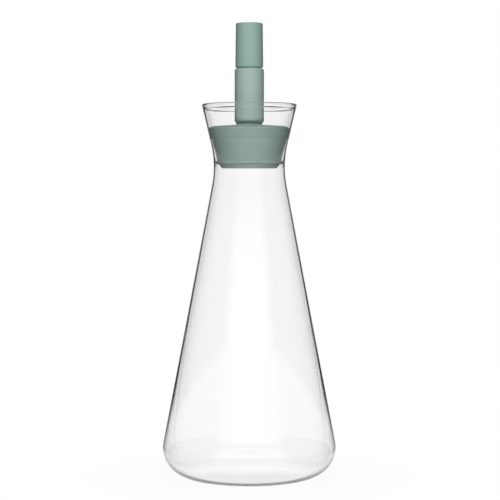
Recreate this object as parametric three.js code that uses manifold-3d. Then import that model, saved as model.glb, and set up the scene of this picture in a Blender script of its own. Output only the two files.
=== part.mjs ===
// Oil dispenser: a blown conical glass flask, closed by a pouring stopper with a spout and a pull-off cap.
// Millimetres, +Z up, with the origin in the middle of the flask's foot.
import * as THREE from "three";
import { mergeVertices } from "three/addons/utils/BufferGeometryUtils.js";
import Module from "manifold-3d";

// Flask
const BASE_RADIUS = 45;
const HEEL_RADIUS = 14.75;
const NECK_RADIUS = 18.475;
const NECK_HEIGHT = 160.8;
const MOUTH_HEIGHT = 32.35;
const NECK_CURVE_RADIUS = 51;
const FLARE_ANGLE = THREE.MathUtils.degToRad(13.2);
const GLASS_WALL = 0.95;
const FLOOR_THICKNESS = 1.3;
const FOOT_RING_WIDTH = 4.5;
const PUSH_UP = 0.9;
const LIP_BEAD_RADIUS = 0.85;
const LIP_INSET = 0.33;
const LIP_BAND = 0.9;
const LIP_TAPER = 1.2;

// Stopper, measured up from its foot
const FOOT_BELOW_NECK = 0.8;
const STOPPER_HEIGHT = 22.65;
const CROWN_RADIUS = 5.2;
const CROWN_DROP = 1.85;
const CROWN_SLOPE = (3.5 * Math.PI) / 180;
const SEAT_LENGTH = 6.65;
const LOWER_TAPER = THREE.MathUtils.degToRad(14.75);
const STOPPER_WALL = 2.2;
const STOPPER_ROOF = 2.9;
const BOSS_WALL = 1.6;
const SNAP_BEAD = 0.4;
const SNAP_BEAD_RISE = 5;
const BASE_PLATE = 1.9;
const BASE_LAND = 0.3;
const BASE_SETBACK = 0.55;
const BASE_CHAMFER = 1.6;
const BASE_EDGE_RADIUS = 0.65;
const SLEEVE_WALL = 1.5;
const SLEEVE_ABOVE_SNAP = 2;

// Lip seal
const SEAL_THICKNESS = 1.95;
const SEAL_LIP_RADIUS = 1.35;

// Spout
const BORE_RADIUS = 3.8;
const SPOUT_LENGTH = 28.75;
const SPOUT_WALL = 2.03;
const SPOUT_BEVEL = 0.85;
const SPIGOT_WALL = 2;
const WAIST_DEPTH = 0.83;
const WAIST_HEIGHT = 0.8;
const GROOVE_DEPTH = 1.1;
const GROOVE_WIDTH = 1.9;

// Nozzle
const NOZZLE_LENGTH = 18.4;
const NOZZLE_WALL = 1.1;
const NOZZLE_TIP_WALL = 0.8;
const NOZZLE_ROOT_WALL = 1.55;
const NOZZLE_ROOT_LENGTH = 7.8;
const GRIP_BEAD = 0.35;
const GRIP_BEAD_RISE = 4.2;
const DRIP_LIP = 0.5;
const DRIP_LIP_HEIGHT = 2.2;
const DRIP_EDGE = 0.25;

// Return-air tube
const AIR_BORE_RADIUS = 0.65;
const AIR_TUBE_WALL = 0.45;
const AIR_TUBE_RECESS = 0.3;
const AIR_TUBE_HEADROOM = 0.6;
const COLLAR_HEIGHT = 1.5;
const BRIDGE_WIDTH = 1;

// Cap
const CAP_WALL = 1.75;
const CAP_DRAFT = 0.25;
const CAP_ROOF = 2.35;
const CAP_EDGE_RADIUS = 0.6;
const CAP_BEVEL = 0.6;
const PLUG_DISC = 2;
const PLUG_NOSE_LENGTH = 3.5;
const PLUG_NOSE_CHAMFER = 0.6;

// Clearances between pieces that touch on the real object
const SEAT_GAP = 0.2;
const CLAMP_GAP = 0.15;
const FIT_GAP = 0.2;
const RING_GAP = 0.1;
const CAP_GAP = 0.25;

// Facets round the axis
const FLASK_FACETS = 48;
const SPOUT_FACETS = 32;
const TUBE_FACETS = 12;

const wasm = await Module();
wasm.setup();

// Colours and finishes
const glass = new THREE.MeshStandardMaterial({
  color: 0xf2f5f4,
  roughness: 0.04,
  metalness: 0,
  transparent: true,
  opacity: 0.3,
});
const greenPlastic = new THREE.MeshStandardMaterial({ color: 0xa3b9b0, roughness: 0.55, metalness: 0 });
const greenSilicone = new THREE.MeshStandardMaterial({ color: 0x9fb5ac, roughness: 0.75, metalness: 0 });
const clearPlastic = new THREE.MeshStandardMaterial({ color: 0xdfe6e3, roughness: 0.3, metalness: 0 });

// A point of a profile: radius, height
function at(radius, height) {
  return new THREE.Vector2(radius, height);
}

// Points along a circular arc of a profile, both ends included
function arc(centre, radius, from, to, steps) {
  const points = [];
  for (let i = 0; i <= steps; i += 1) {
    const angle = from + ((to - from) * i) / steps;
    points.push(at(centre.x + radius * Math.cos(angle), centre.y + radius * Math.sin(angle)));
  }
  return points;
}

// A solid of revolution about +Z. The profile runs with the material on its left hand.
function revolve(profile, facets) {
  return new THREE.LatheGeometry(profile, facets).rotateX(Math.PI / 2);
}

// A ring of revolution: its profile closes on itself
function revolveRing(profile, facets) {
  return revolve([...profile, profile[0].clone()], facets);
}

// A closed geometry as a solid for joining
function toSolid(geometry) {
  const bare = geometry.clone().deleteAttribute("normal").deleteAttribute("uv");
  const merged = mergeVertices(bare, 1e-4);
  const mesh = new wasm.Mesh({
    numProp: 3,
    vertProperties: merged.attributes.position.array,
    triVerts: new Uint32Array(merged.index.array),
  });
  return new wasm.Manifold(mesh);
}

// A joined solid as a geometry
function toGeometry(solid) {
  const mesh = solid.getMesh();
  const geometry = new THREE.BufferGeometry();
  geometry.setAttribute("position", new THREE.BufferAttribute(mesh.vertProperties, 3));
  geometry.setIndex(new THREE.BufferAttribute(mesh.triVerts, 1));
  geometry.computeVertexNormals();
  return geometry;
}

// Flask profile: the heel and neck are circles, and the cone is the straight tangent between them
const heelCentre = at(BASE_RADIUS - HEEL_RADIUS, HEEL_RADIUS);
const neckCentre = at(NECK_RADIUS + NECK_CURVE_RADIUS, NECK_HEIGHT);
const centreLine = neckCentre.clone().sub(heelCentre);
const coneTilt = centreLine.angle() - Math.acos((HEEL_RADIUS + NECK_CURVE_RADIUS) / centreLine.length());
const innerNeckRadius = NECK_CURVE_RADIUS + GLASS_WALL;

// Where the straight flare starts on the inner face of the wall
const innerFlareStart = at(
  neckCentre.x - innerNeckRadius * Math.cos(FLARE_ANGLE),
  neckCentre.y + innerNeckRadius * Math.sin(FLARE_ANGLE),
);

// Inner radius of the neck and flare at a height of the flask
function mouthRadius(height) {
  if (height > innerFlareStart.y) {
    return innerFlareStart.x + (height - innerFlareStart.y) * Math.tan(FLARE_ANGLE);
  }
  return neckCentre.x - Math.sqrt(innerNeckRadius ** 2 - (height - NECK_HEIGHT) ** 2);
}

function flaskProfile() {
  // Shallow push-up under the floor, then the flat foot ring and the heel
  const footInner = heelCentre.x - FOOT_RING_WIDTH;
  const pushUpRadius = (footInner ** 2 + PUSH_UP ** 2) / (2 * PUSH_UP);
  const pushUpCentre = at(0, PUSH_UP - pushUpRadius);
  const pushUpEnd = Math.acos(footInner / pushUpRadius);
  const pushUp = arc(pushUpCentre, pushUpRadius, Math.PI / 2, pushUpEnd, 4);
  const heel = arc(heelCentre, HEEL_RADIUS, -Math.PI / 2, coneTilt, 9);
  const neck = arc(neckCentre, NECK_CURVE_RADIUS, Math.PI + coneTilt, Math.PI - FLARE_ANGLE, 7);

  // Fire-polished lip: the wall thickens inwards over a short taper into a band with a round bead on it
  const along = at(Math.sin(FLARE_ANGLE), Math.cos(FLARE_ANGLE));
  const across = at(Math.cos(FLARE_ANGLE), -Math.sin(FLARE_ANGLE));
  const beadHeight = NECK_HEIGHT + MOUTH_HEIGHT - LIP_BEAD_RADIUS;
  const halfWall = GLASS_WALL / 2;
  const wallMiddle = at(mouthRadius(beadHeight) + halfWall / Math.cos(FLARE_ANGLE), beadHeight);
  const lipPoint = (outward, down) =>
    wallMiddle.clone().addScaledVector(across, outward).addScaledVector(along, -down);
  const bead = arc(lipPoint(-LIP_INSET, 0), LIP_BEAD_RADIUS, -FLARE_ANGLE, Math.PI - FLARE_ANGLE, 8);
  const taperOuter = lipPoint(halfWall, LIP_BAND + LIP_TAPER);
  const bandOuter = lipPoint(LIP_BEAD_RADIUS - LIP_INSET, LIP_BAND);
  const bandInner = lipPoint(-LIP_BEAD_RADIUS - LIP_INSET, LIP_BAND);
  const taperInner = lipPoint(-halfWall, LIP_BAND + LIP_TAPER);

  // Inside: the same neck and cone one wall in, an inner heel and a floor that follows the push-up
  const innerNeck = arc(neckCentre, innerNeckRadius, Math.PI - FLARE_ANGLE, Math.PI + coneTilt, 7);
  const coneReach = heelCentre.dot(at(Math.cos(coneTilt), Math.sin(coneTilt))) + HEEL_RADIUS;
  const innerHeelRadius = HEEL_RADIUS - FLOOR_THICKNESS;
  const innerHeelReach = coneReach - GLASS_WALL - innerHeelRadius;
  const innerHeelAcross = (innerHeelReach - Math.sin(coneTilt) * HEEL_RADIUS) / Math.cos(coneTilt);
  const innerHeel = arc(at(innerHeelAcross, HEEL_RADIUS), innerHeelRadius, coneTilt, -Math.PI / 2, 8);
  const floorCentre = at(0, pushUpCentre.y + FLOOR_THICKNESS);
  const floor = arc(floorCentre, pushUpRadius, pushUpEnd, Math.PI / 2, 4);

  return [
    ...pushUp,
    ...heel,
    ...neck,
    taperOuter,
    bandOuter,
    ...bead,
    bandInner,
    taperInner,
    ...innerNeck,
    ...innerHeel,
    ...floor,
  ];
}

// Heights in the stopper, from its foot
const footHeight = NECK_HEIGHT - FOOT_BELOW_NECK;
const sealBottom = BASE_PLATE + CLAMP_GAP;
const sealTop = sealBottom + SEAL_THICKNESS;
const bodyFoot = sealTop + CLAMP_GAP;
const snapHeight = bodyFoot + SNAP_BEAD_RISE;
const seatLow = STOPPER_HEIGHT - SEAT_LENGTH;
const collarBottom = BASE_PLATE + FIT_GAP;
const spigotEnd = collarBottom + COLLAR_HEIGHT + FIT_GAP;
const grooveHeight = (bodyFoot + STOPPER_HEIGHT) / 2;
const spoutFoot = STOPPER_HEIGHT + FIT_GAP;
const spoutTop = spoutFoot + SPOUT_LENGTH;
const nozzleTip = spoutTop + NOZZLE_LENGTH;

// Radii that pieces share, outwards from the bore
const spigotRadius = BORE_RADIUS + SPIGOT_WALL;
const bossBore = spigotRadius + FIT_GAP;
const bossRadius = bossBore + BOSS_WALL;
const sleeveBore = bossRadius + FIT_GAP;
const sleeveRadius = sleeveBore + SLEEVE_WALL;
const nozzleRootRadius = BORE_RADIUS + NOZZLE_ROOT_WALL;
const nozzleRadius = BORE_RADIUS + NOZZLE_WALL;
const nozzleTipRadius = BORE_RADIUS + NOZZLE_TIP_WALL;
const socketRadius = nozzleRootRadius + FIT_GAP;
const spoutRadius = socketRadius + SPOUT_WALL;
const waistRadius = spoutRadius - WAIST_DEPTH;
const capBore = nozzleRadius + GRIP_BEAD + FIT_GAP;
const capRadius = capBore + CAP_WALL;

// Radius of the stopper's outer face at a height in the stopper
function stopperRadius(height) {
  const seat = mouthRadius(footHeight + Math.max(height, seatLow)) - SEAT_GAP;
  return seat - Math.max(0, seatLow - height) * Math.tan(LOWER_TAPER);
}

// The seal's rounded lip reaches the glass at its tip and curves in to its foot
const sealTipHeight = sealBottom + SEAL_LIP_RADIUS;
const sealTipRadius = mouthRadius(footHeight + sealTipHeight) - SEAT_GAP;
const sealFootRadius = sealTipRadius - SEAL_LIP_RADIUS;

// A snap bead on an upright face of a profile that runs up (direction 1) or down (direction -1)
function snapBead(radius, height, size, direction) {
  const reach = size * direction;
  return [at(radius, height - reach), at(radius + size, height), at(radius, height + reach)];
}

// Conical stopper, cored out from below round a central boss that holds the spigot
function stopperBody() {
  const edge = STOPPER_HEIGHT - CROWN_DROP;
  const rim = stopperRadius(edge);
  const belowCone = (CROWN_DROP - (rim - bossBore) * Math.tan(CROWN_SLOPE)) * Math.cos(CROWN_SLOPE);
  const crownEnd = Math.PI / 2 - CROWN_SLOPE;
  const crownStart = crownEnd - Math.acos(1 - belowCone / CROWN_RADIUS);
  const crownAcross = rim - CROWN_RADIUS * Math.cos(crownStart);
  const crownCentre = at(crownAcross, edge - CROWN_RADIUS * Math.sin(crownStart));
  const crown = arc(crownCentre, CROWN_RADIUS, crownStart, crownEnd, 5);
  const ceiling = STOPPER_HEIGHT - STOPPER_ROOF;
  const bossFoot = BASE_PLATE + FIT_GAP;
  const seatSteps = 3;
  const seat = [];
  for (let i = 0; i < seatSteps; i += 1) {
    const height = seatLow + ((edge - seatLow) * i) / seatSteps;
    seat.push(at(stopperRadius(height), height));
  }
  return revolveRing(
    [
      at(stopperRadius(bodyFoot) - STOPPER_WALL, bodyFoot),
      at(stopperRadius(bodyFoot), bodyFoot),
      ...seat,
      ...crown,
      at(bossBore, STOPPER_HEIGHT),
      at(bossBore, bossFoot),
      at(bossRadius, bossFoot),
      ...snapBead(bossRadius, snapHeight, SNAP_BEAD, 1),
      at(bossRadius, ceiling),
      at(stopperRadius(ceiling) - STOPPER_WALL, ceiling),
      at(stopperRadius(seatLow) - STOPPER_WALL, seatLow),
    ],
    FLASK_FACETS,
  );
}

// Soft washer with a lip, drooping above and round below, that wipes the glass at the neck
function lipSeal() {
  return revolveRing(
    [
      at(sleeveRadius + FIT_GAP, sealBottom),
      ...arc(at(sealFootRadius, sealTipHeight), SEAL_LIP_RADIUS, -Math.PI / 2, 0, 5),
      at(stopperRadius(bodyFoot), sealTop),
      at(sleeveRadius + FIT_GAP, sealTop),
    ],
    FLASK_FACETS,
  );
}

// Chamfered foot whose sleeve snaps over the boss and clamps the seal
function stopperBase() {
  const sleeveTop = snapHeight + SLEEVE_ABOVE_SNAP;
  const landRadius = sealFootRadius - BASE_SETBACK;
  const edgeCentre = at(landRadius - BASE_CHAMFER, BASE_EDGE_RADIUS);
  return revolveRing(
    [
      at(BORE_RADIUS, 0),
      ...arc(edgeCentre, BASE_EDGE_RADIUS, -Math.PI / 2, -Math.PI / 6, 3),
      at(landRadius, BASE_PLATE - BASE_LAND),
      at(landRadius, BASE_PLATE),
      at(sleeveRadius, BASE_PLATE),
      at(sleeveRadius, sleeveTop),
      at(sleeveBore, sleeveTop),
      ...snapBead(sleeveBore, snapHeight, SNAP_BEAD, -1),
      at(sleeveBore, BASE_PLATE),
      at(BORE_RADIUS, BASE_PLATE),
    ],
    FLASK_FACETS,
  );
}

// Upright spout: a spigot with a ring groove, a short waist on the stopper, a column and a nozzle socket
function spoutTube() {
  const socketFloor = spoutTop - NOZZLE_ROOT_LENGTH - FIT_GAP;
  const grooveRadius = spigotRadius - GROOVE_DEPTH;
  return revolveRing(
    [
      at(BORE_RADIUS, spigotEnd),
      at(spigotRadius, spigotEnd),
      at(spigotRadius, grooveHeight - GROOVE_WIDTH / 2),
      at(grooveRadius, grooveHeight - GROOVE_WIDTH / 2),
      at(grooveRadius, grooveHeight + GROOVE_WIDTH / 2),
      at(spigotRadius, grooveHeight + GROOVE_WIDTH / 2),
      at(spigotRadius, spoutFoot),
      at(waistRadius, spoutFoot),
      ...arc(at(waistRadius, spoutFoot + WAIST_HEIGHT + WAIST_DEPTH), WAIST_DEPTH, -Math.PI / 2, 0, 4),
      at(spoutRadius, spoutTop - SPOUT_BEVEL),
      at(spoutRadius - SPOUT_BEVEL, spoutTop),
      at(socketRadius, spoutTop),
      at(socketRadius, socketFloor),
      at(BORE_RADIUS, socketFloor),
    ],
    SPOUT_FACETS,
  );
}

// Sealing ring in the spigot's groove
function spoutRing() {
  const inner = spigotRadius - GROOVE_DEPTH + RING_GAP;
  const outer = bossBore - RING_GAP;
  const section = (outer - inner) / 2;
  const circle = arc(at(inner + section, grooveHeight), section, 0, 2 * Math.PI, 10);
  return revolve(circle, SPOUT_FACETS);
}

// Slim nozzle with a grip bead for the cap and a sharp flared drip edge
function pourNozzle() {
  const rootFoot = spoutTop - NOZZLE_ROOT_LENGTH;
  const lipFoot = nozzleTip - DRIP_LIP_HEIGHT;
  const edgeRadius = nozzleTipRadius + DRIP_LIP;
  return revolveRing(
    [
      at(BORE_RADIUS, rootFoot),
      at(nozzleRootRadius, rootFoot),
      at(nozzleRootRadius, spoutTop),
      at(nozzleRadius, spoutTop),
      ...snapBead(nozzleRadius, spoutTop + GRIP_BEAD_RISE, GRIP_BEAD, 1),
      at(nozzleTipRadius, lipFoot),
      at(edgeRadius, nozzleTip),
      at(edgeRadius - DRIP_EDGE, nozzleTip),
      at(BORE_RADIUS, lipFoot),
    ],
    SPOUT_FACETS,
  );
}

// Thin return-air tube against the wall of the bore, carried by a collar under the spigot
function airTube() {
  const tubeRadius = AIR_BORE_RADIUS + AIR_TUBE_WALL;
  const offset = BORE_RADIUS - FIT_GAP - tubeRadius;
  const top = nozzleTip + CAP_GAP - PLUG_NOSE_LENGTH - AIR_TUBE_HEADROOM;
  const tube = revolveRing(
    [
      at(AIR_BORE_RADIUS, AIR_TUBE_RECESS),
      at(tubeRadius, AIR_TUBE_RECESS),
      at(tubeRadius, top),
      at(AIR_BORE_RADIUS, top),
    ],
    TUBE_FACETS,
  );
  tube.translate(0, offset, 0);
  const collarTop = collarBottom + COLLAR_HEIGHT;
  const collar = revolveRing(
    [
      at(BORE_RADIUS, collarBottom),
      at(spigotRadius, collarBottom),
      at(spigotRadius, collarTop),
      at(BORE_RADIUS, collarTop),
    ],
    SPOUT_FACETS,
  );
  // The bridge starts inside the tube's wall and ends inside the collar
  const bridgeStart = offset + (tubeRadius + AIR_BORE_RADIUS) / 2;
  const bridgeEnd = (BORE_RADIUS + spigotRadius) / 2;
  const bridge = new THREE.BoxGeometry(BRIDGE_WIDTH, bridgeEnd - bridgeStart, COLLAR_HEIGHT);
  bridge.translate(0, (bridgeStart + bridgeEnd) / 2, collarBottom + COLLAR_HEIGHT / 2);
  return toGeometry(toSolid(tube).add(toSolid(collar)).add(toSolid(bridge)));
}

// Heights in the cap, from its lower edge
const capFoot = spoutTop + CAP_GAP;
const discBottom = nozzleTip + CAP_GAP - capFoot;
const discTop = discBottom + PLUG_DISC;
const capCeiling = discTop + FIT_GAP;
const capHeight = capCeiling + CAP_ROOF;

// Pull-off cap with a slight draft, a bevelled lower edge and a rounded top edge
function spoutCap() {
  const edgeCentre = at(capRadius - CAP_DRAFT - CAP_EDGE_RADIUS, capHeight - CAP_EDGE_RADIUS);
  return revolve(
    [
      at(0, capCeiling),
      at(capBore, capCeiling),
      at(capBore, 0),
      at(capRadius - CAP_BEVEL, 0),
      at(capRadius, CAP_BEVEL),
      ...arc(edgeCentre, CAP_EDGE_RADIUS, 0, Math.PI / 2, 4),
      at(0, capHeight),
    ],
    SPOUT_FACETS,
  );
}

// Soft plug under the cap's roof: its disc closes on the drip edge and its nose enters the bore
function capPlug() {
  const noseRadius = BORE_RADIUS - FIT_GAP;
  const noseEnd = discBottom - PLUG_NOSE_LENGTH;
  const discRadius = capBore - FIT_GAP;
  return revolve(
    [
      at(0, noseEnd),
      at(noseRadius - PLUG_NOSE_CHAMFER, noseEnd),
      at(noseRadius, noseEnd + PLUG_NOSE_CHAMFER),
      at(noseRadius, discBottom),
      at(discRadius, discBottom),
      at(discRadius, discTop),
      at(0, discTop),
    ],
    SPOUT_FACETS,
  );
}

function piece(name, geometry, material) {
  const mesh = new THREE.Mesh(geometry, material);
  mesh.name = name;
  return mesh;
}

// Pull-off cap with its plug
const cap = new THREE.Group();
cap.position.z = capFoot;
cap.add(piece("spout_cap", spoutCap(), greenPlastic));
cap.add(piece("cap_plug", capPlug(), greenSilicone));

// Stopper with its spout
const stopper = new THREE.Group();
stopper.position.z = footHeight;
stopper.add(piece("stopper_body", stopperBody(), greenPlastic));
stopper.add(piece("lip_seal", lipSeal(), greenSilicone));
stopper.add(piece("stopper_base", stopperBase(), greenPlastic));
stopper.add(piece("spout_tube", spoutTube(), greenPlastic));
stopper.add(piece("spout_o_ring", spoutRing(), greenSilicone));
stopper.add(piece("pour_nozzle", pourNozzle(), greenPlastic));
stopper.add(piece("air_tube", airTube(), clearPlastic));
stopper.add(cap);

// Whole dispenser
const dispenser = new THREE.Group();
dispenser.add(piece("glass_flask", revolve(flaskProfile(), FLASK_FACETS), glass));
dispenser.add(stopper);

export default dispenser;
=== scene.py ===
# Oil dispenser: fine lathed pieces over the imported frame, in clear glass and matte sage green
import math

import bpy
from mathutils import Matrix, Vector


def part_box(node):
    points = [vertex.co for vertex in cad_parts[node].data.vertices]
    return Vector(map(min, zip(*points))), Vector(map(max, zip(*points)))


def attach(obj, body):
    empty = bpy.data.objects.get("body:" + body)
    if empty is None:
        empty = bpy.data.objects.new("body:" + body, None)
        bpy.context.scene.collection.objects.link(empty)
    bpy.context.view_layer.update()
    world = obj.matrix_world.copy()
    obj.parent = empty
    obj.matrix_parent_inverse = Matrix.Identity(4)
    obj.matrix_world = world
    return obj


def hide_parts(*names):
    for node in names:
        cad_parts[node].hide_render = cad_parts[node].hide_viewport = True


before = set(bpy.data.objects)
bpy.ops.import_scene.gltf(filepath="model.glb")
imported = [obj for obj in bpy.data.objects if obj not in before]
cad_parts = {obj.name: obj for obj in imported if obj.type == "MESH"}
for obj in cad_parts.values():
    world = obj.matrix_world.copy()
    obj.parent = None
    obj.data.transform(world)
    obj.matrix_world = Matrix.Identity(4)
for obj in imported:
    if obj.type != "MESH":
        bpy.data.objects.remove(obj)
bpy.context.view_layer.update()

# Units: profiles are written in millimetres, and the scene is in metres
MM = 0.001

# Flask sizes that the frame's boxes don't give
HEEL_RADIUS = 14.75
NECK_RADIUS = 18.475
NECK_HEIGHT = 160.8
NECK_CURVE_RADIUS = 51
FLARE_ANGLE = math.radians(13.2)
GLASS_WALL = 0.95
FLOOR_THICKNESS = 1.3
FOOT_RING_WIDTH = 4.5
PUSH_UP = 0.9
LIP_BEAD_RADIUS = 0.85
LIP_INSET = 0.33
LIP_BAND = 0.9
LIP_TAPER = 1.2

# Stopper, seal and base
SEAT_PRESS = 0.02
CROWN_RADIUS = 5.2
CROWN_DROP = 1.85
CROWN_SLOPE = math.radians(3.5)
SEAT_LENGTH = 6.65
LOWER_TAPER = math.radians(14.75)
STOPPER_WALL = 2.2
STOPPER_ROOF = 2.9
BOSS_WALL = 1.6
SNAP_BEAD = 0.4
SNAP_BELOW_SLEEVE_TOP = 2
SLEEVE_WALL = 1.5
SEAL_LIP_RADIUS = 1.35
BASE_PLATE = 1.9
BASE_LAND = 0.3
BASE_CHAMFER = 1.6
BASE_EDGE_RADIUS = 0.65
BASE_EDGE_END = -math.pi / 6
FIT_GAP = 0.2
CLAMP_GAP = 0.15
TOUCH_GAP = 0.02

# Spout, nozzle and air tube
BORE_RADIUS = 3.8
SPIGOT_WALL = 2
WAIST_DEPTH = 0.83
WAIST_HEIGHT = 0.8
COVE_RADIUS = 0.6
COVE_SINK = 0.07
SPOUT_BEVEL = 0.85
GROOVE_DEPTH = 1.1
GROOVE_WIDTH = 1.9
NOZZLE_WALL = 1.1
NOZZLE_TIP_WALL = 0.8
GRIP_BEAD = 0.35
GRIP_BEAD_RISE = 4.2
DRIP_LIP = 0.5
DRIP_LIP_HEIGHT = 2.2
DRIP_EDGE = 0.25
AIR_BORE_RADIUS = 0.65
AIR_TUBE_WALL = 0.45
COLLAR_HEIGHT = 1.5
BRIDGE_WIDTH = 1

# Cap and plug
CAP_DRAFT = 0.25
CAP_EDGE_RADIUS = 0.6
CAP_BEVEL = 0.6
CAP_ROOF = 2.35
PLUG_DISC = 2
PLUG_NOSE_CHAMFER = 0.6

# Roundings of moulded edges; each takes at most a side's length divided by ROUND_LIMIT
SOFT_EDGE = 0.3
FINE_EDGE = 0.12
DRIP_SWEEP = 4 * SOFT_EDGE
DRIP_ROUNDING = DRIP_EDGE / 3
ROUND_LIMIT = 2.2

# Facets around the fine pieces, and steps along their curves and lines
GLASS_SEGMENTS = 192
PLASTIC_SEGMENTS = 128
SMALL_SEGMENTS = 64
HEEL_STEPS = 32
INNER_HEEL_STEPS = 28
NECK_STEPS = 20
RING_STEPS = 20
CONE_STEPS = 16
CURVE_STEPS = 12
FOOT_STEPS = 10
SMALL_STEPS = 8
FLARE_STEPS = 6
ROUND_STEPS = 5
SHARP_ANGLE = math.radians(32)
AXIS_TOLERANCE = 1e-9

# Colours, in linear light
WHITE = (1.0, 1.0, 1.0, 1.0)
SAGE = (0.365, 0.478, 0.436, 1.0)
SAGE_DEEP = (0.345, 0.457, 0.415, 1.0)
CAP_SAGE = (0.304, 0.445, 0.393, 1.0)
CAP_SAGE_DEEP = (0.287, 0.425, 0.374, 1.0)
SILICONE = (0.36, 0.472, 0.43, 1.0)
SILICONE_DEEP = (0.335, 0.446, 0.404, 1.0)
PALE = (0.74, 0.8, 0.775, 1.0)
PALE_DEEP = (0.68, 0.75, 0.72, 1.0)
FLOOR_COLOUR = (0.8, 0.8, 0.8, 1.0)

# Moulded finishes: pale and deep colour, roughness, grain scale, grain height in metres, and shine
PLASTIC_FINISH = (SAGE, SAGE_DEEP, 0.38, 2600, 0.00002, 0.4)
CAP_FINISH = (CAP_SAGE, CAP_SAGE_DEEP, 0.38, 2600, 0.00002, 0.4)
SEAT_FINISH = (SAGE, SAGE_DEEP, 0.5, 2600, 0.00002, 0.08)
SILICONE_FINISH = (SILICONE, SILICONE_DEEP, 0.72, 1900, 0.00003, 0.1)
PALE_FINISH = (PALE, PALE_DEEP, 0.35, 2200, 0.00002, 0.4)
MOTTLE_SCALE = 160
MOTTLE_DETAIL = 4
GLOSS_SCALE = 420
GLOSS_DETAIL = 3
GLOSS_NOISE = (0.3, 0.7)
GLOSS_SPREAD = 0.05
GRAIN_DETAIL = 3
GRAIN_STRENGTH = 0.35

# Seat band of painted shade, the colour darker where the stopper sits against the glass: share of colour
# kept, and soft ends in millimetres
SEAT_SHADE_KEPT = 0.86
SEAT_SHADE_BLEND = 0.3

# Glass, with faint waves in its surface; wave height in metres
GLASS_IOR = 1.47
GLASS_CLARITY = 0.99
WAVE_SCALE = 38
WAVE_DETAIL = 2
WAVE_STRENGTH = 0.05
WAVE_HEIGHT = 0.0004

# Camera, read from the outline's perspective, in metres and on a sensor in millimetres
CAMERA_DISTANCE = 0.8324
CAMERA_HEIGHT = 0.1555
CAMERA_TILT = math.radians(2.603)
CAMERA_LENS = 115.5
CAMERA_SENSOR = 36.0
CAMERA_SHIFT = 0.0014

# Lamps: place, aim, width and height in metres, and the share of full white on a card that faces the lamp
LAMPS = {
    "key": ((0, -0.95, 1.6), (0, 0, 0.17), 0.6, 0.9, 0.69),
    "card": ((0, -0.55, 0.03), (0, 0, 0.165), 0.16, 0.05, 0.605),
    "back": ((0, 1.3, 0.9), (0, 0, 0.17), 0.8, 0.8, 0.75),
    "top": ((0.05, 0.05, 1.5), (0, 0, 0.1), 1.3, 1.3, 0.06),
}

# Light Path counts are whole numbers, so they are compared with values half-way between two
FIRST_COUNT = 0.5
ONE_WALL_COUNT = 3.5

# What reflections show of the studio, where 1 is white
FRONT_LEVEL = 1.12
FRONT_TOP_SHARE = 0.3
FRONT_FAR_SHARE = 0.2
SIDE_LEVEL = 0.22
NECK_SIDE_LEVEL = 0.05
REAR_HIGH_LEVEL = 0.55

# What light turned back inside the glass wall shows, where 1 is white
WALL_LIGHT = 0.75
FOOT_WALL_LIGHT = 0.35
NECK_WALL_LIGHT = 0.15
WALL_DARK = 0.02

# What shows through the glass, where 1 is white: high in the backdrop, and on steep ways down to the floor
CEILING_LEVEL = 0.1
STEEP_LEVEL = 0.15

# Where those levels change, as limits of a direction's parts: X to the right, Y to the back, Z up
CEILING_RISE = (0.3, 0.5)
EDGE_BEARING = (0.84, 0.9)
FRONT_BEARING = (-0.45, -0.9)
FRONT_TOP = (0.85, 0.5)
OVERHEAD_RISE = (0.75, 0.92)
REAR_WIDTH = (0.31, 0.14)
REAR_BEARING = (0.0, 0.2)
REAR_RISE = (0.15, 0.35)
REAR_FLOOR_BEARING = (0.95, 0.99)
WALL_SLOPE = (0.75, 0.5)
HORIZON_BAND = (0.002, 0.014)

# Where they change on the floor, in metres from its middle
FOOT_FLOOR = (0.08, 0.16)
FRONT_FADE = (0.42, 0.16)
UNDER_FADE = (0.13, 0.07)
NECK_FADE = (1.2, 1.8)

# How the floor tells where a ray left the glass: reach of neck and lip, squared height, and slope
NECK_REACH = 0.02
LIP_REACH = 0.024
NECK_RISE = (0.005, 0.02)
BENT_SLOPE = (0.985, 0.95)
STEEP_SLOPE = (0.9, 0.8)

# Floor: its size and drop in metres, the share of it that glows white, and the light that it throws back
FLOOR_SIZE = 4.0
FLOOR_DROP = 0.00005
FLOOR_GLOW = 0.93
FLOOR_GLOW_IN_GLASS = 0.985
FLOOR_FADE = (0.045, 0.11)
BOUNCE_NEAR = 0.5
BOUNCE_FAR = 0.1
BOUNCE_FADE = (0.1, 0.3)


# Profiles

def at(radius, height):
    """A point of a profile."""
    return Vector((radius, height))


def arc(centre, radius, start, end, steps):
    """Points along a circular arc of a profile, both ends included."""
    points = []
    for i in range(steps + 1):
        angle = start + (end - start) * i / steps
        points.append(at(centre.x + radius * math.cos(angle), centre.y + radius * math.sin(angle)))
    return points


def line(start, end, steps):
    """Points from start up to, but not at, end."""
    return [start.lerp(end, i / steps) for i in range(steps)]


def rounded(corners):
    """A closed profile whose corners (radius, height, rounding) are softened by short curves."""
    points = []
    for i, (radius, height, rounding) in enumerate(corners):
        here = at(radius, height)
        if rounding == 0:
            points.append(here)
            continue
        before = at(*corners[i - 1][:2]) - here
        after = at(*corners[(i + 1) % len(corners)][:2]) - here
        wanted = rounding / math.tan(before.angle(after) / 2)
        cut = min(wanted, before.length / ROUND_LIMIT, after.length / ROUND_LIMIT)
        start = here + before.normalized() * cut
        end = here + after.normalized() * cut
        for k in range(ROUND_STEPS + 1):
            t = k / ROUND_STEPS
            points.append(start * (1 - t) ** 2 + here * 2 * t * (1 - t) + end * t ** 2)
    return points


def plain(points):
    """Curve points as corners with no rounding."""
    return [(p.x, p.y, 0) for p in points]


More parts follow.
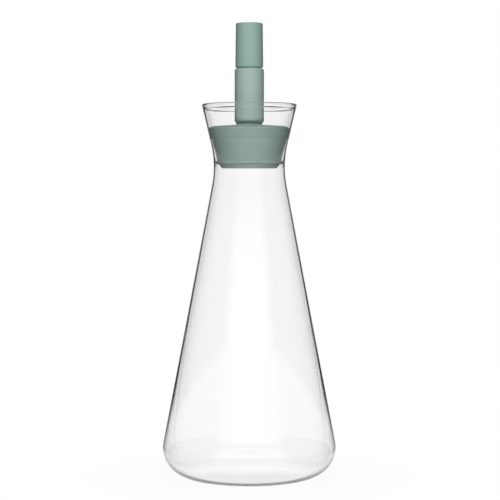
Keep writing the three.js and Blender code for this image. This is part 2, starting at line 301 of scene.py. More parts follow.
def lathe(name, profile, segments):
    """A smooth body of revolution about Z, with the material on the left hand of its profile.

    A profile that starts on the axis also ends there, and any other closes on itself.
    """
    vertices = []
    rings = []
    for p in profile:
        turns = 1 if p.x < AXIS_TOLERANCE else segments
        rings.append(range(len(vertices), len(vertices) + turns))
        for j in range(turns):
            angle = 2 * math.pi * j / segments
            place = (p.x * math.cos(angle), p.x * math.sin(angle), p.y)
            vertices.append([c * MM for c in place])
    following = rings[1:]
    if profile[0].x > AXIS_TOLERANCE:
        following.append(rings[0])
    faces = []
    for first, second in zip(rings, following):
        for j in range(segments):
            k = (j + 1) % segments
            face = [
                first[j % len(first)],
                first[k % len(first)],
                second[k % len(second)],
                second[j % len(second)],
            ]
            faces.append(list(dict.fromkeys(face)))
    mesh = bpy.data.meshes.new(name)
    mesh.from_pydata(vertices, [], faces)
    mesh.shade_smooth()
    mesh.set_sharp_from_angle(angle=SHARP_ANGLE)
    piece = bpy.data.objects.new(name, mesh)
    bpy.context.scene.collection.objects.link(piece)
    return piece


def dress(piece, node, body, material):
    """The piece stands for a node of the frame, rides on its body and takes its finish."""
    piece.data.materials.clear()
    piece.data.materials.append(material)
    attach(piece, body)
    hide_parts(node)


# Sizes from the frame, in millimetres

def low(node):
    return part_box(node)[0].z / MM


def high(node):
    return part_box(node)[1].z / MM


def reach(node):
    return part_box(node)[1].x / MM


heel_centre = at(reach("glass_flask") - HEEL_RADIUS, HEEL_RADIUS)
neck_centre = at(NECK_RADIUS + NECK_CURVE_RADIUS, NECK_HEIGHT)
centre_line = neck_centre - heel_centre
cone_tilt = math.atan2(centre_line.y, centre_line.x) - math.acos(
    (HEEL_RADIUS + NECK_CURVE_RADIUS) / centre_line.length
)
inner_neck_radius = NECK_CURVE_RADIUS + GLASS_WALL
flare_start = neck_centre + at(-math.cos(FLARE_ANGLE), math.sin(FLARE_ANGLE)) * inner_neck_radius


def mouth_radius(height):
    """Inner radius of the neck and flare."""
    if height > flare_start.y:
        return flare_start.x + (height - flare_start.y) * math.tan(FLARE_ANGLE)
    return neck_centre.x - math.sqrt(inner_neck_radius ** 2 - (height - NECK_HEIGHT) ** 2)


# Flask

def flask_profile():
    # Push-up, foot ring, heel, cone and neck
    foot_inner = heel_centre.x - FOOT_RING_WIDTH
    push_radius = (foot_inner ** 2 + PUSH_UP ** 2) / (2 * PUSH_UP)
    push_end = math.acos(foot_inner / push_radius)
    push_centre = PUSH_UP - push_radius
    points = arc(at(0, push_centre), push_radius, math.pi / 2, push_end, CURVE_STEPS)
    points[0].x = 0
    points += arc(heel_centre, HEEL_RADIUS, -math.pi / 2, cone_tilt, HEEL_STEPS)
    neck = arc(neck_centre, NECK_CURVE_RADIUS, math.pi + cone_tilt, math.pi - FLARE_ANGLE, NECK_STEPS)
    points += line(points[-1], neck[0], CONE_STEPS)[1:] + neck

    # Lip: the wall swells smoothly into a round bead
    along = at(math.sin(FLARE_ANGLE), math.cos(FLARE_ANGLE))
    across = at(math.cos(FLARE_ANGLE), -math.sin(FLARE_ANGLE))
    half = GLASS_WALL / 2
    bead_height = high("glass_flask") - LIP_BEAD_RADIUS
    wall_middle = at(mouth_radius(bead_height) + half / math.cos(FLARE_ANGLE), bead_height)
    bead_centre = wall_middle - across * LIP_INSET
    outer_swell = []
    inner_swell = []
    for i in range(CURVE_STEPS + 1):
        t = i / CURVE_STEPS
        share = t * t * (3 - 2 * t)
        middle = wall_middle - along * (LIP_BAND + LIP_TAPER * (1 - t))
        outer_swell.append(middle + across * (half + (LIP_BEAD_RADIUS - LIP_INSET - half) * share))
        inner_swell.insert(0, middle - across * (half + (LIP_BEAD_RADIUS + LIP_INSET - half) * share))
    points += line(points[-1], outer_swell[0], FLARE_STEPS)[1:] + outer_swell
    points += arc(bead_centre, LIP_BEAD_RADIUS, -FLARE_ANGLE, math.pi - FLARE_ANGLE, RING_STEPS)
    points += inner_swell

    # Inside: one wall in, down to a floor that follows the push-up
    inner_neck = arc(neck_centre, inner_neck_radius, math.pi - FLARE_ANGLE, math.pi + cone_tilt, NECK_STEPS)
    points += line(points[-1], inner_neck[0], FLARE_STEPS)[1:] + inner_neck
    cone_normal = at(math.cos(cone_tilt), math.sin(cone_tilt))
    inner_heel_radius = HEEL_RADIUS - FLOOR_THICKNESS
    inner_reach = heel_centre.dot(cone_normal) + HEEL_RADIUS - GLASS_WALL - inner_heel_radius
    inner_across = (inner_reach - cone_normal.y * HEEL_RADIUS) / cone_normal.x
    inner_heel_centre = at(inner_across, HEEL_RADIUS)
    inner_heel = arc(inner_heel_centre, inner_heel_radius, cone_tilt, -math.pi / 2, INNER_HEEL_STEPS)
    points += line(points[-1], inner_heel[0], CONE_STEPS)[1:] + inner_heel
    points += arc(at(0, push_centre + FLOOR_THICKNESS), push_radius, push_end, math.pi / 2, CURVE_STEPS)
    points[-1].x = 0
    return points


# Stopper

foot = low("stopper_base")
stopper_top = high("stopper_body")
crown_edge = stopper_top - CROWN_DROP
seal_bottom = low("lip_seal")
seal_top = high("lip_seal")
body_foot = seal_top + CLAMP_GAP
seat_low = stopper_top - SEAT_LENGTH
sleeve_top = high("stopper_base")
snap_height = sleeve_top - SNAP_BELOW_SLEEVE_TOP
spigot_radius = BORE_RADIUS + SPIGOT_WALL
boss_bore = spigot_radius + FIT_GAP
boss_radius = boss_bore + BOSS_WALL
sleeve_bore = boss_radius + FIT_GAP
sleeve_radius = sleeve_bore + SLEEVE_WALL
seal_tip_height = seal_bottom + SEAL_LIP_RADIUS
seal_tip_radius = mouth_radius(seal_tip_height) + SEAT_PRESS
base_radius = reach("stopper_base")


def stopper_radius(height):
    """Outer radius of the stopper: along the seat it follows the mouth, and below it tapers faster."""
    seat = mouth_radius(max(height, seat_low)) + SEAT_PRESS
    return seat - max(0, seat_low - height) * math.tan(LOWER_TAPER)


def snap_bead(radius, height, size, direction):
    """Corners of a small ring bead; direction is 1 where the profile runs up, and -1 where it runs down."""
    rise = size * direction
    return [
        (radius, height - rise, 0),
        (radius + size, height, size / 2),
        (radius, height + rise, 0),
    ]


def stopper_body_profile():
    rim = stopper_radius(crown_edge)
    below_cone = (CROWN_DROP - (rim - boss_bore) * math.tan(CROWN_SLOPE)) * math.cos(CROWN_SLOPE)
    crown_end = math.pi / 2 - CROWN_SLOPE
    crown_start = crown_end - math.acos(1 - below_cone / CROWN_RADIUS)
    crown_across = rim - CROWN_RADIUS * math.cos(crown_start)
    crown_centre = at(crown_across, crown_edge - CROWN_RADIUS * math.sin(crown_start))
    crown = arc(crown_centre, CROWN_RADIUS, crown_start, crown_end, CURVE_STEPS)
    seat = [seat_low + (crown_edge - seat_low) * i / SMALL_STEPS for i in range(SMALL_STEPS)]
    ceiling = stopper_top - STOPPER_ROOF
    boss_foot = low("stopper_body")
    return rounded(
        [
            (stopper_radius(body_foot) - STOPPER_WALL, body_foot, SOFT_EDGE),
            (stopper_radius(body_foot), body_foot, FINE_EDGE),
            *plain([at(stopper_radius(h), h) for h in seat]),
            (crown[0].x, crown[0].y, SOFT_EDGE),
            *plain(crown[1:]),
            (boss_bore, stopper_top, SOFT_EDGE),
            (boss_bore, boss_foot, FINE_EDGE),
            (boss_radius, boss_foot, FINE_EDGE),
            *snap_bead(boss_radius, snap_height, SNAP_BEAD, 1),
            (boss_radius, ceiling, SOFT_EDGE),
            (stopper_radius(ceiling) - STOPPER_WALL, ceiling, SOFT_EDGE),
            (stopper_radius(seat_low) - STOPPER_WALL, seat_low, 0),
        ]
    )


def lip_seal_profile():
    bore = sleeve_radius + FIT_GAP
    lip_centre = at(seal_tip_radius - SEAL_LIP_RADIUS, seal_tip_height)
    return rounded(
        [
            (bore, seal_bottom, FINE_EDGE),
            *plain(arc(lip_centre, SEAL_LIP_RADIUS, -math.pi / 2, 0, CURVE_STEPS)),
            (stopper_radius(body_foot), body_foot - TOUCH_GAP, FINE_EDGE),
            (bore, body_foot - TOUCH_GAP, FINE_EDGE),
        ]
    )


def stopper_base_profile():
    plate_top = seal_bottom - TOUCH_GAP
    edge_centre = at(base_radius - BASE_CHAMFER, foot + BASE_EDGE_RADIUS)
    return rounded(
        [
            (BORE_RADIUS, foot, FINE_EDGE),
            *plain(arc(edge_centre, BASE_EDGE_RADIUS, -math.pi / 2, BASE_EDGE_END, SMALL_STEPS)),
            (base_radius, plate_top - BASE_LAND, FINE_EDGE),
            (base_radius, plate_top, FINE_EDGE),
            (sleeve_radius, plate_top, FINE_EDGE),
            (sleeve_radius, sleeve_top, FINE_EDGE),
            (sleeve_bore, sleeve_top, FINE_EDGE),
            *snap_bead(sleeve_bore, snap_height, SNAP_BEAD, -1),
            (sleeve_bore, plate_top, FINE_EDGE),
            (BORE_RADIUS, plate_top, FINE_EDGE),
        ]
    )


# Spout

spout_top = high("spout_tube")
spout_radius = reach("spout_tube")
spout_foot = stopper_top + FIT_GAP
groove_height = (body_foot + stopper_top) / 2
root_radius = reach("pour_nozzle")
root_foot = low("pour_nozzle")
nozzle_tip = high("pour_nozzle")
nozzle_radius = BORE_RADIUS + NOZZLE_WALL
nozzle_tip_radius = BORE_RADIUS + NOZZLE_TIP_WALL


def spout_tube_profile():
    spigot_end = low("spout_tube")
    groove_radius = spigot_radius - GROOVE_DEPTH
    socket_radius = root_radius + FIT_GAP
    socket_floor = root_foot - FIT_GAP
    waist_radius = spout_radius - WAIST_DEPTH
    foot_centre = at(waist_radius, spout_foot + WAIST_HEIGHT + WAIST_DEPTH)
    cove_foot = stopper_top - COVE_SINK
    cove_centre = at(waist_radius + COVE_RADIUS, cove_foot + COVE_RADIUS)
    return rounded(
        [
            (BORE_RADIUS, spigot_end, FINE_EDGE),
            (spigot_radius, spigot_end, FINE_EDGE),
            (spigot_radius, groove_height - GROOVE_WIDTH / 2, FINE_EDGE),
            (groove_radius, groove_height - GROOVE_WIDTH / 2, FINE_EDGE),
            (groove_radius, groove_height + GROOVE_WIDTH / 2, FINE_EDGE),
            (spigot_radius, groove_height + GROOVE_WIDTH / 2, FINE_EDGE),
            (spigot_radius, cove_foot, FINE_EDGE),
            *plain(arc(cove_centre, COVE_RADIUS, -math.pi / 2, -math.pi, SMALL_STEPS)),
            *plain(arc(foot_centre, WAIST_DEPTH, -math.pi / 2, 0, FOOT_STEPS)),
            (spout_radius, spout_top - SPOUT_BEVEL, SOFT_EDGE),
            (spout_radius - SPOUT_BEVEL, spout_top, SOFT_EDGE),
            (socket_radius, spout_top, FINE_EDGE),
            (socket_radius, socket_floor, FINE_EDGE),
            (BORE_RADIUS, socket_floor, FINE_EDGE),
        ]
    )


def spout_ring_profile():
    section = (high("spout_o_ring") - low("spout_o_ring")) / 2
    centre = at(reach("spout_o_ring") - section, groove_height)
    return arc(centre, section, 0, 2 * math.pi, RING_STEPS)[:-1]


def pour_nozzle_profile():
    lip_foot = nozzle_tip - DRIP_LIP_HEIGHT
    lip_radius = nozzle_tip_radius + DRIP_LIP
    return rounded(
        [
            (BORE_RADIUS, root_foot, FINE_EDGE),
            (root_radius, root_foot, FINE_EDGE),
            (root_radius, spout_top, FINE_EDGE),
            (nozzle_radius, spout_top, SOFT_EDGE),
            *snap_bead(nozzle_radius, spout_top + GRIP_BEAD_RISE, GRIP_BEAD, 1),
            (nozzle_tip_radius, lip_foot, DRIP_SWEEP),
            (lip_radius, nozzle_tip, DRIP_ROUNDING),
            (lip_radius - DRIP_EDGE, nozzle_tip, DRIP_ROUNDING),
            (BORE_RADIUS, lip_foot, DRIP_SWEEP),
        ]
    )


def sleeve_profile(inner, outer, lowest, highest):
    """A plain sleeve with fine edges."""
    return rounded(
        [
            (inner, lowest, FINE_EDGE),
            (outer, lowest, FINE_EDGE),
            (outer, highest, FINE_EDGE),
            (inner, highest, FINE_EDGE),
        ]
    )


def box_piece(name, lowest, highest):
    """A plain block, in millimetres, used only as part of a join."""
    corners = [(x, y, z) for x in (0, 1) for y in (0, 1) for z in (0, 1)]
    sides = [(0, 1, 3, 2), (4, 6, 7, 5), (0, 4, 5, 1), (2, 3, 7, 6), (0, 2, 6, 4), (1, 5, 7, 3)]
    size = [b - a for a, b in zip(lowest, highest)]
    vertices = [[(a + s * c) * MM for a, s, c in zip(lowest, size, corner)] for corner in corners]
    mesh = bpy.data.meshes.new(name)
    mesh.from_pydata(vertices, [], sides)
    piece = bpy.data.objects.new(name, mesh)
    bpy.context.scene.collection.objects.link(piece)
    return piece


def join_to(piece, others):
    """Unites closed pieces into one mesh with no inner faces."""
    for other in others:
        union = piece.modifiers.new("union", "BOOLEAN")
        union.operation = "UNION"
        union.solver = "EXACT"
        union.object = other
    bpy.context.view_layer.update()
    joined = bpy.data.meshes.new_from_object(piece.evaluated_get(bpy.context.evaluated_depsgraph_get()))
    piece.modifiers.clear()
    piece.data = joined
    for other in others:
        bpy.data.objects.remove(other)
    joined.shade_smooth()
    joined.set_sharp_from_angle(angle=SHARP_ANGLE)


def air_tube_piece():
    """The tube stands at the back of the bore, on a collar that a small bridge joins it to."""
    tube_radius = AIR_BORE_RADIUS + AIR_TUBE_WALL
    offset = BORE_RADIUS - FIT_GAP - tube_radius
    collar_low = foot + BASE_PLATE + FIT_GAP
    collar_high = collar_low + COLLAR_HEIGHT
    tube_section = sleeve_profile(AIR_BORE_RADIUS, tube_radius, low("air_tube"), high("air_tube"))
    tube = lathe("air_tube_fine", tube_section, SMALL_SEGMENTS)
    for vertex in tube.data.vertices:
        vertex.co.y += offset * MM
    collar_section = sleeve_profile(BORE_RADIUS, spigot_radius, collar_low, collar_high)
    collar = lathe("collar", collar_section, SMALL_SEGMENTS)
    bridge = box_piece(
        "bridge",
        (-BRIDGE_WIDTH / 2, offset + (tube_radius + AIR_BORE_RADIUS) / 2, collar_low + FINE_EDGE),
        (BRIDGE_WIDTH / 2, (BORE_RADIUS + spigot_radius) / 2, collar_high - FINE_EDGE),
    )
    join_to(tube, [collar, bridge])
    return tube


# Cap

cap_foot = low("spout_cap")
cap_top = high("spout_cap")
cap_radius = reach("spout_cap")
cap_bore = nozzle_radius + GRIP_BEAD + FIT_GAP
disc_top = high("cap_plug")


def spout_cap_profile():
    ceiling = cap_top - CAP_ROOF
    edge_centre = at(cap_radius - CAP_DRAFT - CAP_EDGE_RADIUS, cap_top - CAP_EDGE_RADIUS)
    return rounded(
        [
            (0, ceiling, 0),
            (cap_bore, ceiling, SOFT_EDGE),
            (cap_bore, cap_foot, FINE_EDGE),
            (cap_radius - CAP_BEVEL, cap_foot, SOFT_EDGE),
            (cap_radius, cap_foot + CAP_BEVEL, SOFT_EDGE),
            *plain(arc(edge_centre, CAP_EDGE_RADIUS, 0, math.pi / 2, SMALL_STEPS)),
            (0, cap_top, 0),
        ]
    )


def cap_plug_profile():
    nose_end = low("cap_plug")
    nose_radius = BORE_RADIUS - FIT_GAP
    disc_radius = reach("cap_plug")
    disc_low = disc_top - PLUG_DISC
    return rounded(
        [
            (0, nose_end, 0),
            (nose_radius - PLUG_NOSE_CHAMFER, nose_end, SOFT_EDGE),
            (nose_radius, nose_end + PLUG_NOSE_CHAMFER, SOFT_EDGE),
            (nose_radius, disc_low, FINE_EDGE),
            (disc_radius, disc_low, FINE_EDGE),
            (disc_radius, disc_top, FINE_EDGE),
            (0, disc_top, 0),
        ]
    )


# Nodes

def add(tree, kind, inputs=None, **settings):
    """A node with its settings, and its inputs set to values or linked from sockets."""
    node = tree.nodes.new(kind)
    for key, value in settings.items():
        setattr(node, key, value)
    for key, value in (inputs or {}).items():
        if isinstance(value, bpy.types.NodeSocket):
            tree.links.new(value, node.inputs[key])
        else:
            node.inputs[key].default_value = value
    return node


def math_node(tree, operation, first, second):
    return add(tree, "ShaderNodeMath", {0: first, 1: second}, operation=operation).outputs[0]


def folded(tree, operation, values):
    """Several values taken together, two at a time, by one operation."""
    result = values[0]
    for value in values[1:]:
        result = math_node(tree, operation, result, value)
    return result


def product(tree, *values):
    return folded(tree, "MULTIPLY", values)


def largest(tree, *values):
    return folded(tree, "MAXIMUM", values)


def magnitude(tree, value):
    return add(tree, "ShaderNodeMath", {0: value}, operation="ABSOLUTE").outputs[0]


def ramp(tree, value, start, end, low_value, high_value):
    """A smooth step from low_value to high_value as the value goes from start to end."""
    node = add(tree, "ShaderNodeMapRange", {0: value}, interpolation_type="SMOOTHSTEP")
    flip = start > end
    node.inputs["From Min"].default_value = end if flip else start
    node.inputs["From Max"].default_value = start if flip else end
    node.inputs["To Min"].default_value = high_value if flip else low_value
    node.inputs["To Max"].default_value = low_value if flip else high_value
    return node.outputs[0]


def mixed(tree, share, first, second):
    """Two shaders mixed by the share of the second."""
    return add(tree, "ShaderNodeMixShader", {0: share, 1: first, 2: second}).outputs[0]


def white_light(tree, kind, strength):
    return add(tree, kind, {"Color": WHITE, "Strength": strength}).outputs[0]


def new_tree(owner):
    owner.use_nodes = True
    owner.node_tree.nodes.clear()
    return owner.node_tree


def noise(tree, scale, detail):
    place = add(tree, "ShaderNodeTexCoord").outputs["Object"]
    inputs = {"Vector": place, "Scale": scale, "Detail": detail}
    return add(tree, "ShaderNodeTexNoise", inputs).outputs["Fac"]


# Materials

def clear_glass():
    """Clear blown glass: faint waves in its surface, and lamps shine through it."""
    material = bpy.data.materials.new("clear_glass")
    tree = new_tree(material)
    waves = noise(tree, WAVE_SCALE, WAVE_DETAIL)
    wave_inputs = {"Height": waves, "Strength": WAVE_STRENGTH, "Distance": WAVE_HEIGHT}
    bump = add(tree, "ShaderNodeBump", wave_inputs)
    surface = add(
        tree,
        "ShaderNodeBsdfPrincipled",
        {
            "Base Color": WHITE,
            "Roughness": 0.0,
            "IOR": GLASS_IOR,
            "Transmission Weight": 1.0,
            "Normal": bump.outputs["Normal"],
        },
    )
    leaving = add(tree, "ShaderNodeNewGeometry").outputs["Backfacing"]
    bend = ramp(tree, leaving, 0.0, 1.0, GLASS_IOR, 1 / GLASS_IOR)
    turned_back = add(tree, "ShaderNodeFresnel", {"IOR": bend}).outputs[0]
    passed = math_node(tree, "SUBTRACT", GLASS_CLARITY, turned_back)
    through = add(tree, "ShaderNodeBsdfTransparent", {"Color": passed})
    lamp_ray = add(tree, "ShaderNodeLightPath").outputs["Is Shadow Ray"]
    mix = mixed(tree, lamp_ray, surface.outputs[0], through.outputs[0])
    add(tree, "ShaderNodeOutputMaterial", {"Surface": mix})
    return material


def seat_painted_shade(tree, colour, seat):
    """The colour with painted shade: darker between the two heights of the seat."""
    place = add(tree, "ShaderNodeTexCoord").outputs["Object"]
    height = add(tree, "ShaderNodeSeparateXYZ", {0: place}).outputs["Z"]
    above = ramp(tree, height, (seat[0] - SEAT_SHADE_BLEND) * MM, seat[0] * MM, 0.0, 1.0)
    below = ramp(tree, height, seat[1] * MM, (seat[1] + SEAT_SHADE_BLEND) * MM, 1.0, 0.0)
    # Painted shade: share of the colour kept inside the seat band
    shade_kept = ramp(tree, product(tree, above, below), 0.0, 1.0, 1.0, SEAT_SHADE_KEPT)
    return add(tree, "ShaderNodeVectorMath", {0: colour, "Scale": shade_kept}, operation="SCALE").outputs[0]


def moulded(name, finish, seat=None):
    """Moulded plastic or silicone: slight mottling, uneven gloss and a fine eroded grain, with painted
    shade along the seat where one is given.
    """
    pale, deep, rough, grain_scale, grain_height, shine = finish
    material = bpy.data.materials.new(name)
    tree = new_tree(material)
    mottle = noise(tree, MOTTLE_SCALE, MOTTLE_DETAIL)
    mottled = add(tree, "ShaderNodeMix", {"Factor": mottle, "A": deep, "B": pale}, data_type="RGBA")
    colour = mottled.outputs["Result"]
    # Painted shade: the colour darker along the seat, where heights are given
    if seat:
        colour = seat_painted_shade(tree, colour, seat)
    roughness = add(
        tree,
        "ShaderNodeMapRange",
        {
            "Value": noise(tree, GLOSS_SCALE, GLOSS_DETAIL),
            "From Min": GLOSS_NOISE[0],
            "From Max": GLOSS_NOISE[1],
            "To Min": rough - GLOSS_SPREAD,
            "To Max": rough + GLOSS_SPREAD,
        },
    )
    grain = noise(tree, grain_scale, GRAIN_DETAIL)
    grain_inputs = {"Height": grain, "Strength": GRAIN_STRENGTH, "Distance": grain_height}
    bump = add(tree, "ShaderNodeBump", grain_inputs)
    surface = add(
        tree,
        "ShaderNodeBsdfPrincipled",
        {
            "Base Color": colour,
            "Roughness": roughness.outputs[0],
            "Specular IOR Level": shine,
            "Normal": bump.outputs["Normal"],
        },
    )
    add(tree, "ShaderNodeOutputMaterial", {"Surface": surface.outputs[0]})
    return material


# Stage

def begun(tree, path, count):
    """1 where a count of the light path is at least one."""
    return math_node(tree, "GREATER_THAN", path.outputs[count], FIRST_COUNT)


def not_begun(tree, path, count):
    """1 where a count of the light path is still zero."""
    return math_node(tree, "LESS_THAN", path.outputs[count], FIRST_COUNT)


def light_in_wall(tree, path):
    """1 for light turned back inside the glass wall, which shows the darker studio around the set."""
    reflected = math_node(tree, "COMPARE", path.outputs["Glossy Depth"], 1.0)
    entered = begun(tree, path, "Transmission Depth")
    one_wall = math_node(tree, "LESS_THAN", path.outputs["Transmission Depth"], ONE_WALL_COUNT)
    return product(tree, reflected, entered, one_wall)


def seen_directly(tree, path):
    """1 for what the eye sees, also by gloss and through glass, and 0 for light that falls on a surface."""
    ray_kinds = ("Is Camera Ray", "Is Glossy Ray", "Is Transmission Ray")
    any_view = largest(tree, *[path.outputs[kind] for kind in ray_kinds])
    return product(tree, any_view, not_begun(tree, path, "Diffuse Depth"))


def studio_level(tree, bearing, share, rear, sides):
    """What a reflection shows: a bright front panel, dim sides and the lit backdrop straight behind."""
    across_front = ramp(tree, bearing, *FRONT_BEARING, 0.0, FRONT_LEVEL)
    return largest(tree, product(tree, across_front, share), rear, sides)


def wall_level(tree, bearing, level):
    """What light turned back inside the wall shows: the level at the sides, and dark straight behind."""
    side_share = ramp(tree, bearing, *EDGE_BEARING, 1.0, 0.0)
    return largest(tree, product(tree, side_share, level), WALL_DARK)


def build_world():
    """A white backdrop to the eye, and the studio around it in reflections; it lights no surface."""
    kind = "ShaderNodeBackground"
    world = bpy.data.worlds.new("studio")
    bpy.context.scene.world = world
    world.cycles.sampling_method = "NONE"
    tree = new_tree(world)
    path = add(tree, "ShaderNodeLightPath")
    direction = add(tree, "ShaderNodeTexCoord").outputs["Generated"]
    aside, forward, upward = add(tree, "ShaderNodeSeparateXYZ", {0: direction}).outputs

    # Seen straight or through the glass
    ceiling = ramp(tree, upward, *CEILING_RISE, 1.0, CEILING_LEVEL)
    backdrop = white_light(tree, kind, largest(tree, ceiling, not_begun(tree, path, "Transmission Depth")))

    # Turned back inside the wall
    side_level = ramp(tree, upward, *HORIZON_BAND, NECK_WALL_LIGHT, WALL_LIGHT)
    shade = white_light(tree, kind, wall_level(tree, forward, side_level))

    # Mirrored
    below_top = ramp(tree, upward, *FRONT_TOP, FRONT_TOP_SHARE, 1.0)
    overhead = ramp(tree, upward, *OVERHEAD_RISE, 0.0, 1.0)
    straight = ramp(tree, magnitude(tree, aside), *REAR_WIDTH, 0.0, 1.0)
    away = ramp(tree, forward, *REAR_BEARING, 0.0, 1.0)
    rear_level = ramp(tree, upward, *REAR_RISE, 1.0, REAR_HIGH_LEVEL)
    rear = product(tree, straight, away, rear_level)
    sides = ramp(tree, upward, *HORIZON_BAND, NECK_SIDE_LEVEL, SIDE_LEVEL)
    panels = largest(tree, studio_level(tree, forward, below_top, rear, sides), overhead)
    studio = white_light(tree, kind, panels)

    around = mixed(tree, begun(tree, path, "Glossy Depth"), backdrop, studio)
    level_share = ramp(tree, magnitude(tree, upward), *WALL_SLOPE, 0.0, 1.0)
    in_wall = product(tree, light_in_wall(tree, path), level_share)
    behind = mixed(tree, in_wall, around, shade)
    view = add(tree, "ShaderNodeMixShader", {0: seen_directly(tree, path), 2: behind})
    add(tree, "ShaderNodeOutputWorld", {"Surface": view.outputs[0]})


def build_floor():
    """A pale floor that looks white, keeps the shadow near the object and fades into the backdrop."""
    kind = "ShaderNodeEmission"
    mesh = bpy.data.meshes.new("floor")
    signs = [(-1, -1), (1, -1), (1, 1), (-1, 1)]
    corners = [(x * FLOOR_SIZE, y * FLOOR_SIZE, -FLOOR_DROP) for x, y in signs]
    mesh.from_pydata(corners, [], [(0, 1, 2, 3)])
    floor = bpy.data.objects.new("floor", mesh)
    bpy.context.scene.collection.objects.link(floor)
    material = bpy.data.materials.new("pale_floor")
    material.cycles.emission_sampling = "NONE"
    tree = new_tree(material)
    path = add(tree, "ShaderNodeLightPath")
    length = path.outputs["Ray Length"]
    place = add(tree, "ShaderNodeNewGeometry").outputs["Position"]
    distance = add(tree, "ShaderNodeVectorMath", {0: place}, operation="LENGTH").outputs["Value"]
    forward = add(tree, "ShaderNodeSeparateXYZ", {0: place}).outputs["Y"]
    bearing = math_node(tree, "DIVIDE", forward, distance)

    # Light thrown back on surfaces, less from further out
    given_back = ramp(tree, distance, *BOUNCE_FADE, BOUNCE_NEAR, BOUNCE_FAR)
    bounce = add(tree, "ShaderNodeBsdfDiffuse", {"Color": given_back})

    # Seen straight or through the glass
    in_glass = product(tree, begun(tree, path, "Transmission Depth"), FLOOR_GLOW_IN_GLASS)
    in_the_open = ramp(tree, distance, *FLOOR_FADE, FLOOR_GLOW, 1.0)
    glow_share = largest(tree, in_the_open, in_glass)
    slope = math_node(tree, "DIVIDE", math_node(tree, "ADD", distance, LIP_REACH), length)
    bent_down = ramp(tree, slope, *BENT_SLOPE, 1.0, STEEP_LEVEL)
    from_above = ramp(tree, slope, *STEEP_SLOPE, 0.0, 1.0)
    glow_level = largest(tree, bent_down, from_above, not_begun(tree, path, "Transmission Depth"))
    glow = white_light(tree, kind, glow_level)
    matte = add(tree, "ShaderNodeBsdfDiffuse", {"Color": FLOOR_COLOUR})
    direct = mixed(tree, glow_share, matte.outputs[0], glow)

    # Near 1 for a ray that left the glass at the neck's height, which its length and its way across tell
    travel = math_node(tree, "SUBTRACT", distance, NECK_REACH)
    length_squared = math_node(tree, "POWER", length, 2.0)
    height_squared = math_node(tree, "SUBTRACT", length_squared, product(tree, travel, travel))
    high_start = ramp(tree, height_squared, *NECK_RISE, 0.0, 1.0)
    from_neck = product(tree, high_start, ramp(tree, distance, *NECK_FADE, 1.0, 0.0))

    # Turned back inside the wall
    near_level = ramp(tree, distance, *FOOT_FLOOR, FOOT_WALL_LIGHT, WALL_LIGHT)
    neck_level = ramp(tree, from_neck, 0.0, 1.0, WALL_LIGHT, NECK_WALL_LIGHT)
    side_level = math_node(tree, "MINIMUM", near_level, neck_level)
    shade = white_light(tree, kind, wall_level(tree, bearing, side_level))

    # Mirrored
    nearby = ramp(tree, distance, *FRONT_FADE, FRONT_FAR_SHARE, 1.0)
    under = ramp(tree, distance, *UNDER_FADE, 0.0, 1.0)
    sides = ramp(tree, from_neck, 0.0, 1.0, SIDE_LEVEL, NECK_SIDE_LEVEL)
    rear = ramp(tree, bearing, *REAR_FLOOR_BEARING, 0.0, 1.0)
    sheen = largest(tree, studio_level(tree, bearing, nearby, rear, sides), under)
    studio = white_light(tree, kind, sheen)

    lit = mixed(tree, begun(tree, path, "Glossy Depth"), direct, studio)
    behind = mixed(tree, light_in_wall(tree, path), lit, shade)
    view = mixed(tree, seen_directly(tree, path), bounce.outputs[0], behind)
    add(tree, "ShaderNodeOutputMaterial", {"Surface": view})
    mesh.materials.append(material)


def softbox(name, place, aim, width, height, level):
    """A lamp that gives a white card facing it that share of full white."""
    lamp = bpy.data.lights.new(name, "AREA")
    lamp.shape = "RECTANGLE"
    lamp.size = width
    lamp.size_y = height
    direction = Vector(aim) - Vector(place)
    lamp.energy = level * math.pi ** 2 * direction.length_squared
    holder = bpy.data.objects.new(name, lamp)
    holder.location = place
    holder.rotation_euler = direction.to_track_quat("-Z", "Y").to_euler()
    holder.visible_camera = False
    holder.visible_glossy = False
    holder.visible_transmission = False
    bpy.context.scene.collection.objects.link(holder)


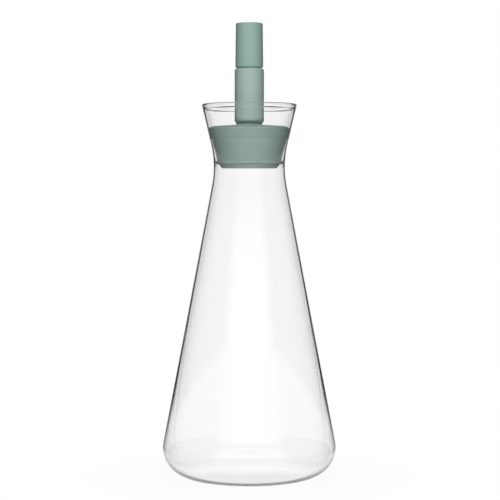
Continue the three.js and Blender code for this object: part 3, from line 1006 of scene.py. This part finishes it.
def build_camera():
    data = bpy.data.cameras.new("camera")
    data.lens = CAMERA_LENS
    data.sensor_width = CAMERA_SENSOR
    data.shift_x = CAMERA_SHIFT
    camera = bpy.data.objects.new("camera", data)
    camera.location = (0, -CAMERA_DISTANCE, CAMERA_HEIGHT)
    camera.rotation_euler = (math.pi / 2 - CAMERA_TILT, 0, 0)
    bpy.context.scene.collection.objects.link(camera)
    bpy.context.scene.camera = camera


# Pieces

def turned(node, profile, segments, body, material):
    """A lathed piece that stands for a node of the frame."""
    dress(lathe(node + "_fine", profile, segments), node, body, material)


def build_pieces():
    # Heights of the painted shade along the stopper's seat
    seat = (seat_low - 2 * SEAT_SHADE_BLEND, crown_edge - 2 * SEAT_SHADE_BLEND)
    glass = clear_glass()
    plastic = moulded("green_plastic", PLASTIC_FINISH)
    cap_plastic = moulded("green_cap_plastic", CAP_FINISH)
    seat_shaded_plastic = moulded("green_seat_shaded_plastic", SEAT_FINISH, seat)
    silicone = moulded("green_silicone", SILICONE_FINISH)
    pale = moulded("pale_plastic", PALE_FINISH)
    turned("glass_flask", flask_profile(), GLASS_SEGMENTS, "flask", glass)
    turned(
        "stopper_body", stopper_body_profile(), PLASTIC_SEGMENTS, "stopper", seat_shaded_plastic
    )
    turned("lip_seal", lip_seal_profile(), PLASTIC_SEGMENTS, "stopper", silicone)
    turned(
        "stopper_base", stopper_base_profile(), PLASTIC_SEGMENTS, "stopper", seat_shaded_plastic
    )
    turned("spout_tube", spout_tube_profile(), PLASTIC_SEGMENTS, "stopper", plastic)
    turned("spout_o_ring", spout_ring_profile(), SMALL_SEGMENTS, "stopper", silicone)
    turned("pour_nozzle", pour_nozzle_profile(), PLASTIC_SEGMENTS, "stopper", plastic)
    dress(air_tube_piece(), "air_tube", "stopper", pale)
    turned("spout_cap", spout_cap_profile(), PLASTIC_SEGMENTS, "cap", cap_plastic)
    turned("cap_plug", cap_plug_profile(), SMALL_SEGMENTS, "cap", silicone)


build_camera()
build_world()
build_floor()
for lamp_name, lamp_values in LAMPS.items():
    softbox(lamp_name, *lamp_values)
build_pieces()
bpy.context.scene.view_settings.view_transform = "Standard"
